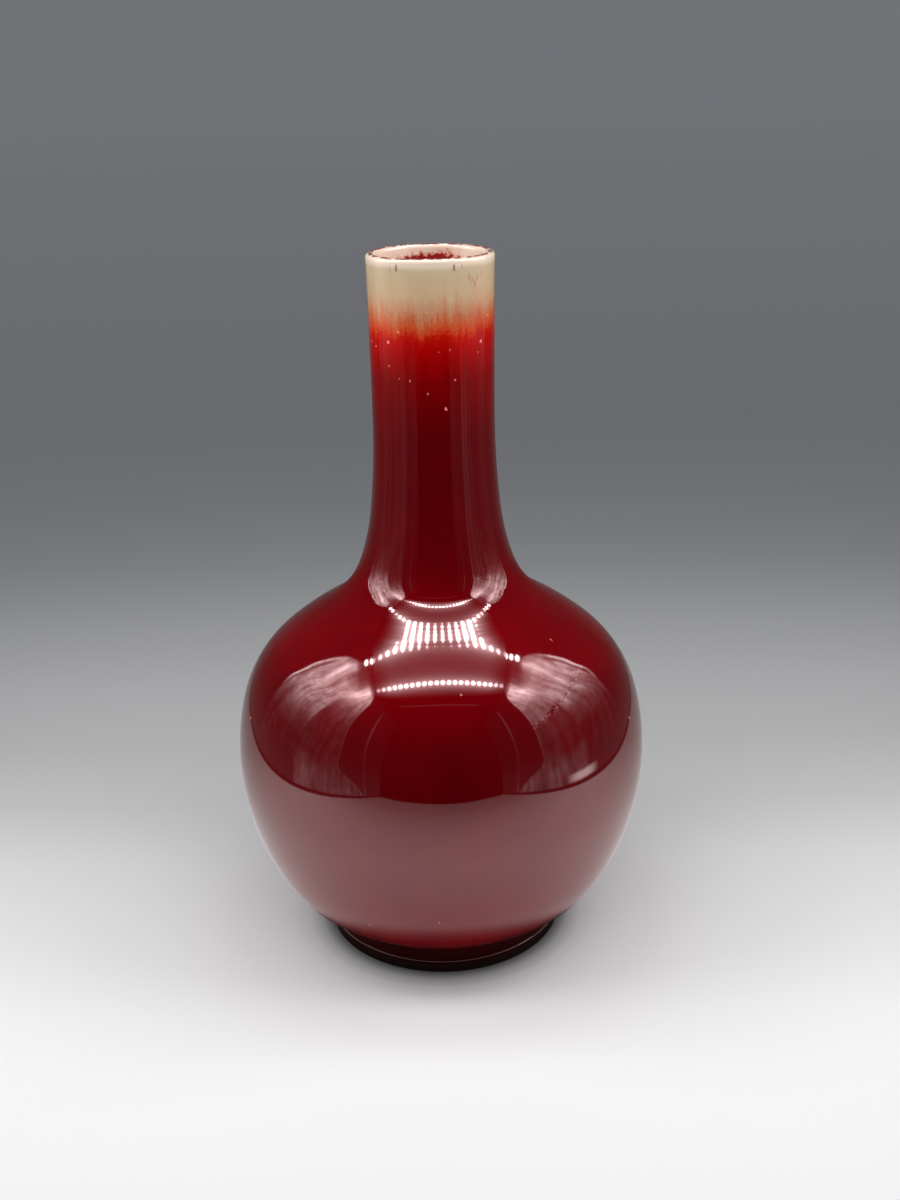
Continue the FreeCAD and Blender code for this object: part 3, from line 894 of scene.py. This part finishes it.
# roof: two bowed rows of lamps, the glow beside them, and darkness past the tent's walls
def makeRoofCloth():
    material, tree, parts = newCloth("roofCloth")
    across, depth = parts["X"], parts["Y"]
    squared = compute(tree, "MULTIPLY", across, across)
    awayFromMiddle = compute(tree, "ABSOLUTE", across)
    rowEnd = tent["rowEnd"]
    total = None
    offsets = []
    for row in tent["rows"]:
        pitched = compute(tree, "MULTIPLY_ADD", across, 1 / row["pitch"], 20.0)
        fromBead = compute(tree, "MULTIPLY",
                           compute(tree, "SUBTRACT", compute(tree, "FRACT", pitched), 0.5),
                           row["pitch"] / row["half"][0])
        centre = compute(tree, "ADD",
                         compute(tree, "MULTIPLY_ADD", across, row["slope"], row["middle"]),
                         compute(tree, "MULTIPLY", squared, row["bend"]))
        offset = compute(tree, "SUBTRACT", depth, centre)
        offsets.append(offset)
        half = smoothRise(tree, awayFromMiddle, *tent["longBeads"], row["half"][1] + row["longer"],
                          row["half"][1])
        tall = compute(tree, "DIVIDE", offset, half)
        far = compute(tree, "SQRT", compute(tree, "ADD", compute(tree, "MULTIPLY", tall, tall),
                                            compute(tree, "MULTIPLY", fromBead, fromBead)))
        beads = smoothRise(tree, far, *row["edge"], tent["beadLight"], 0.0)
        wide = compute(tree, "DIVIDE", offset, row["glowHalf"])
        halo = compute(tree, "DIVIDE", row["glow"],
                       compute(tree, "MULTIPLY_ADD", wide, wide, 1.0))
        lampRow = compute(tree, "ADD", beads, halo)
        total = lampRow if total is None else compute(tree, "ADD", total, lampRow)
    # the roof is dark before the first row and behind the second
    lit = compute(tree, "MULTIPLY", smoothRise(tree, offsets[0], *tent["litFrom"]),
                  smoothRise(tree, offsets[1], *tent["litTo"], 1.0, 0.0))
    fade, left = tent["rowFade"]
    span = smoothRise(tree, awayFromMiddle, rowEnd - fade, rowEnd, 1.0, left)
    light = compute(tree, "MULTIPLY", compute(tree, "MULTIPLY", total, lit),
                    compute(tree, "MULTIPLY", span,
                            compute(tree, "LESS_THAN", awayFromMiddle, rowEnd)))
    # the thin edge of the roof at the front
    middle, half, shine = tent["edgeLine"]
    edge = smoothRise(tree, compute(tree, "ABSOLUTE", compute(tree, "SUBTRACT", depth, middle)),
                      half * 0.4, half, shine, 0.0)
    edge = compute(tree, "MULTIPLY", edge, smoothRise(tree, awayFromMiddle, 0.25, 0.38, 1.0, 0.0))
    return lightCloth(material, tree, compute(tree, "ADD", light, edge))


# side walls: wrinkled silver, bright under the ends of the lamp rows and dark low down
# Each list gives brightness, or a place from front to back in metres, by height in metres.

wall = {
    "inner": [(0.0, 0.10), (0.20, 0.10), (0.24, 0.2), (0.28, 0.4), (0.32, 0.75), (0.36, 1.4),
              (0.40, 2.3), (0.46, 3.0), (0.55, 3.6), (0.70, 3.4), (0.76, 2.4), (0.82, 1.1),
              (0.90, 0.25), (1.05, 0.1)],
    "outerLeft": [(0.0, 0.5), (0.05, 0.45), (0.12, 0.26), (0.20, 0.13), (0.40, 0.2),
                  (0.50, 0.5), (0.56, 0.8), (0.60, 1.2), (0.65, 1.8), (0.74, 3.0), (0.85, 3.8),
                  (0.95, 3.0), (0.99, 0.5), (1.05, 0.1)],
    "outerRight": [(0.0, 0.5), (0.05, 0.55), (0.12, 0.32), (0.20, 0.15), (0.36, 0.3),
                   (0.43, 0.65), (0.46, 1.1), (0.55, 1.7), (0.60, 2.2), (0.65, 2.7),
                   (0.74, 3.6), (0.85, 4.4), (0.95, 3.2), (0.99, 0.5), (1.05, 0.1)],
    "front": [(0.0, -0.60), (0.03, -0.58), (0.08, -0.50), (0.13, -0.39), (0.16, -0.37),
              (0.28, -0.365), (0.40, -0.35), (0.50, -0.335), (0.65, -0.32), (0.74, -0.31),
              (0.82, -0.30), (0.89, -0.28), (0.95, -0.25), (1.0, -0.22), (1.05, -0.20)],
    "back": [(0.0, 0.155), (0.28, 0.17), (0.36, 0.20), (0.40, 0.21), (0.50, 0.215),
             (0.60, 0.20), (0.70, 0.18), (0.78, 0.155), (0.82, 0.135), (0.86, 0.11),
             (0.92, 0.09), (1.05, 0.08)],
    "frontGlow": [(0.45, 0.0), (0.55, 1.0), (0.65, 3.2), (0.75, 7.0), (0.85, 9.0), (0.93, 10.0),
                  (0.97, 5.0), (1.02, 0.5), (1.05, 0.0)],
    "frontGlowPlace": [(0.45, -0.09), (0.65, -0.11), (0.74, -0.125), (0.82, -0.145),
                       (0.92, -0.168), (1.05, -0.17)],
    "backGlow": [(0.42, 0.0), (0.50, 1.2), (0.60, 3.2), (0.70, 6.0), (0.80, 8.0), (0.85, 3.0),
                 (0.89, 0.5), (1.05, 0.0)],
    "backGlowPlace": [(0.42, 0.03), (0.55, 0.065), (0.65, 0.085), (0.74, 0.087), (0.82, 0.072),
                      (0.90, 0.07), (1.05, 0.07)],
    "frame": [(0.0, -0.62), (0.06, -0.605), (0.87, -0.505), (1.05, -0.48)],
    "frameShine": [(0.04, 0.3), (0.10, 0.08), (0.40, 0.15), (0.65, 0.5), (0.88, 0.35), (0.95, 0.0)],
    "beyond": [(0.0, 0.14), (0.10, 0.09), (0.20, 0.05), (0.40, 0.035), (1.05, 0.03)],
    # scale of the folds from front to back and up, and of the creases, with their dark and light
    "folds": (30.0, 4.0, 0.55, 1.45),
    "creases": (12.0, 12.0, 0.65, 1.35),
    "innerFrom": (-0.12, -0.098),   # where the outer cloth gives way to the inner
    "glows": {"frontGlow": 0.050, "backGlow": 0.030},
    "crumpleHeight": 0.43,
    "crumpleScale": (1.0, 45.0, 70.0),
    "hemHeight": (0.30, 0.40, 0.60, 0.72),
    "hem": (0.008, 0.016, 1.6),     # from full to nothing, and its shine
    "hemLine": 0.028,
    "frontHem": (0.006, 0.014, 0.25),
    "gleam": (-0.145, 0.10, 0.032, 3.4),    # depth, half length, height and shine
    "gap": (0.012, 0.018, 0.05),    # where the dark gap under the wall ends, and its shine
}


def makeWallCloth():
    material, tree, parts = newCloth("wallCloth")
    side, depth, height = parts["X"], parts["Y"], parts["Z"]
    onRight = compute(tree, "GREATER_THAN", side, 0.0)

    def byHeight(key):
        low, high = wall[key][0][0], wall[key][-1][0]
        curve = addNode(tree, "FloatCurve", {"Value": compute(
            tree, "DIVIDE", compute(tree, "SUBTRACT", height, low), high - low, clamp=True)})
        curve.mapping.use_clip = False
        points = curve.mapping.curves[0].points
        while len(points) < len(wall[key]):
            points.new(0.5, 0.5)
        for point, (at, value) in zip(points, wall[key]):
            point.location = ((at - low) / (high - low), value)
            point.handle_type = "AUTO_CLAMPED"
        curve.mapping.update()
        return curve.outputs[0]

    def near(place, half):
        away = compute(tree, "ABSOLUTE", compute(tree, "SUBTRACT", depth, place))
        return smoothRise(tree, away, half * 0.3, half, 1.0, 0.0)

    # folds hang down the wall, creases run all ways
    sideWord = compute(tree, "MULTIPLY", onRight, 7.3)
    where = addNode(tree, "CombineXYZ", {"X": sideWord, "Y": depth, "Z": height}).outputs[0]
    bent = addNode(tree, "TexNoise", {"Vector": where, "Scale": 3.0, "Detail": 1.0}).outputs["Color"]
    bent = vectorMath(tree, "ADD", where, vectorMath(tree, "SCALE", bent, scale=0.12))
    along, up, dark, light = wall["folds"]
    folds = speckle(tree, vectorMath(tree, "MULTIPLY", bent, (1.0, along, up)), 1.0, 4.0, 0.62)
    folded = smoothRise(tree, folds, 0.3, 0.7, dark, light)
    along, up, dark, light = wall["creases"]
    creases = speckle(tree, vectorMath(tree, "MULTIPLY", bent, (1.0, along, up)), 1.0, 4.0, 0.65)
    folded = compute(tree, "MULTIPLY", folded, smoothRise(tree, creases, 0.3, 0.7, dark, light))
    inner = byHeight("inner")
    leftOuter, rightOuter = byHeight("outerLeft"), byHeight("outerRight")
    outer = compute(tree, "ADD", compute(tree, "MULTIPLY", leftOuter,
                                         compute(tree, "SUBTRACT", 1.0, onRight)),
                    compute(tree, "MULTIPLY", rightOuter, onRight))
    toInner = smoothRise(tree, depth, *wall["innerFrom"])
    light = compute(tree, "ADD", compute(tree, "MULTIPLY", inner, toInner),
                    compute(tree, "MULTIPLY", outer, compute(tree, "SUBTRACT", 1.0, toInner)))
    light = compute(tree, "MULTIPLY", light, folded)
    for name, width in wall["glows"].items():
        away = compute(tree, "DIVIDE", compute(tree, "SUBTRACT", depth, byHeight(name + "Place")),
                       width)
        spread = compute(tree, "DIVIDE", byHeight(name), compute(
            tree, "POWER", compute(tree, "MULTIPLY_ADD", away, away, 1.0), 1.6))
        spread = compute(tree, "MULTIPLY", spread, smoothRise(tree, folds, 0.3, 0.7, 0.7, 1.3))
        light = compute(tree, "ADD", light, spread)
    # a crumpled fold across the right wall
    fromFold = compute(tree, "ABSOLUTE", compute(
        tree, "ADD", compute(tree, "SUBTRACT", height, wall["crumpleHeight"]),
        wander(tree, creases, 0.03)))
    crumple = speckle(tree, vectorMath(tree, "MULTIPLY", where, wall["crumpleScale"]), 1.0, 3.0, 0.7)
    crumple = compute(tree, "MULTIPLY", smoothRise(tree, fromFold, 0.006, 0.03, 1.0, 0.0),
                      smoothRise(tree, crumple, 0.42, 0.64, -1.2, 2.2))
    light = compute(tree, "ADD", light, compute(tree, "MULTIPLY", crumple, onRight))
    # a bright hem at the back edge, and the dark line inside it
    fromFront = compute(tree, "SUBTRACT", depth, byHeight("front"))
    fromBack = compute(tree, "SUBTRACT", byHeight("back"), depth)
    hemHeight = compute(tree, "MULTIPLY", smoothRise(tree, height, *wall["hemHeight"][:2]),
                        smoothRise(tree, height, *wall["hemHeight"][2:], 1.0, 0.0))
    hem = smoothRise(tree, fromBack, *wall["hem"], 0.0)
    fromLine = compute(tree, "ABSOLUTE", compute(tree, "SUBTRACT", fromBack, wall["hemLine"]))
    dim = smoothRise(tree, fromLine, 0.004, 0.014, 0.75, 0.0)
    light = compute(tree, "MULTIPLY", light, compute(tree, "SUBTRACT", 1.0,
                                                     compute(tree, "MULTIPLY", dim, hemHeight)))
    light = compute(tree, "ADD", light, compute(tree, "MULTIPLY", hem, hemHeight))
    light = compute(tree, "ADD", light, smoothRise(tree, fromFront, *wall["frontHem"], 0.0))
    # the right wall's foot catches the light
    middle, half, level, shine = wall["gleam"]
    fromGleam = compute(tree, "ABSOLUTE", compute(tree, "SUBTRACT", height, level))
    gleam = compute(tree, "MULTIPLY", near(middle, half),
                    smoothRise(tree, fromGleam, 0.006, 0.02, shine, 0.0))
    light = compute(tree, "ADD", light, compute(tree, "MULTIPLY", gleam, onRight))
    inside = compute(tree, "MULTIPLY", smoothRise(tree, fromFront, 0.0, 0.006),
                     smoothRise(tree, fromBack, 0.0, 0.006))
    light = compute(tree, "MULTIPLY", light, inside)
    light = compute(tree, "MAXIMUM", light, byHeight("beyond"))
    frame = compute(tree, "MULTIPLY", near(byHeight("frame"), 0.014), byHeight("frameShine"))
    light = compute(tree, "ADD", light, frame)
    # the last lamps of the second row
    for (place, lowest), chosen in zip(tent["wallRow"], (compute(tree, "SUBTRACT", 1.0, onRight),
                                                         onRight)):
        pitched = compute(tree, "DIVIDE", compute(tree, "SUBTRACT", height, lowest),
                          tent["wallPitch"])
        up = compute(tree, "MULTIPLY", tent["wallPitch"] / tent["wallHalf"][0],
                     compute(tree, "SUBTRACT", pitched, compute(tree, "ROUND", pitched)))
        beside = compute(tree, "DIVIDE", compute(tree, "SUBTRACT", depth, place),
                         tent["wallHalf"][1])
        far = compute(tree, "SQRT", compute(tree, "ADD", compute(tree, "MULTIPLY", up, up),
                                            compute(tree, "MULTIPLY", beside, beside)))
        lamp = smoothRise(tree, far, 0.8, 1.25, tent["beadLight"], 0.0)
        lamp = compute(tree, "MULTIPLY", lamp, compute(tree, "GREATER_THAN", pitched, -0.5))
        light = compute(tree, "ADD", light, compute(tree, "MULTIPLY", lamp, chosen))
    # a dark gap under the wall
    gapLow, gapHigh, shine = wall["gap"]
    above = smoothRise(tree, height, gapLow, gapHigh)
    light = compute(tree, "MULTIPLY_ADD", light, above,
                    compute(tree, "MULTIPLY", shine, compute(tree, "SUBTRACT", 1.0, above)))
    return lightCloth(material, tree, light)


def makeDarkCloth(name, stops):
    material, tree, parts = newCloth(name)
    return lightCloth(material, tree, stopsAlong(tree, parts["Z"], stops))


tentDepth = tent["back"] - tent["front"]
tentMiddle = (tent["back"] + tent["front"]) / 2
wallCloth = makeWallCloth()
sheets = [
    addSheet("tentRoof", (2 * tent["halfWidth"], tentDepth), (0, tentMiddle, tent["roof"]),
             (180, "X"), makeRoofCloth()),
    addSheet("tentLeft", (tent["roof"], tentDepth), (-tent["halfWidth"], tentMiddle, tent["roof"] / 2),
             (90, "Y"), wallCloth),
    addSheet("tentRight", (tent["roof"], tentDepth), (tent["halfWidth"], tentMiddle, tent["roof"] / 2),
             (-90, "Y"), wallCloth),
    addSheet("tentFront", (2 * tent["halfWidth"], tent["roof"]), (0, tent["front"], tent["roof"] / 2),
             (90, "X"), makeDarkCloth("frontCloth", [(0.0, tent["frontDark"]),
                                                     (tent["roof"], tent["frontDark"])])),
    addSheet("tentBack", (2 * tent["halfWidth"], tent["roof"]), (0, tent["back"], tent["roof"] / 2),
             (90, "X"), makeDarkCloth("backCloth", tent["backDark"])),
]
for sheet in sheets:
    sheet.visible_camera = False
    sheet.visible_diffuse = False
    sheet.visible_transmission = False
    sheet.visible_volume_scatter = False
    sheet.visible_shadow = False

world = bpy.data.worlds.new("studio")
bpy.context.scene.world = world
world.use_nodes = True
backdrop = world.node_tree.nodes["Background"]
backdrop.inputs["Color"].default_value = (*studio["world"], 1)
backdrop.inputs["Strength"].default_value = 1.0

bpy.context.scene.view_settings.view_transform = "Standard"
print("studio set")
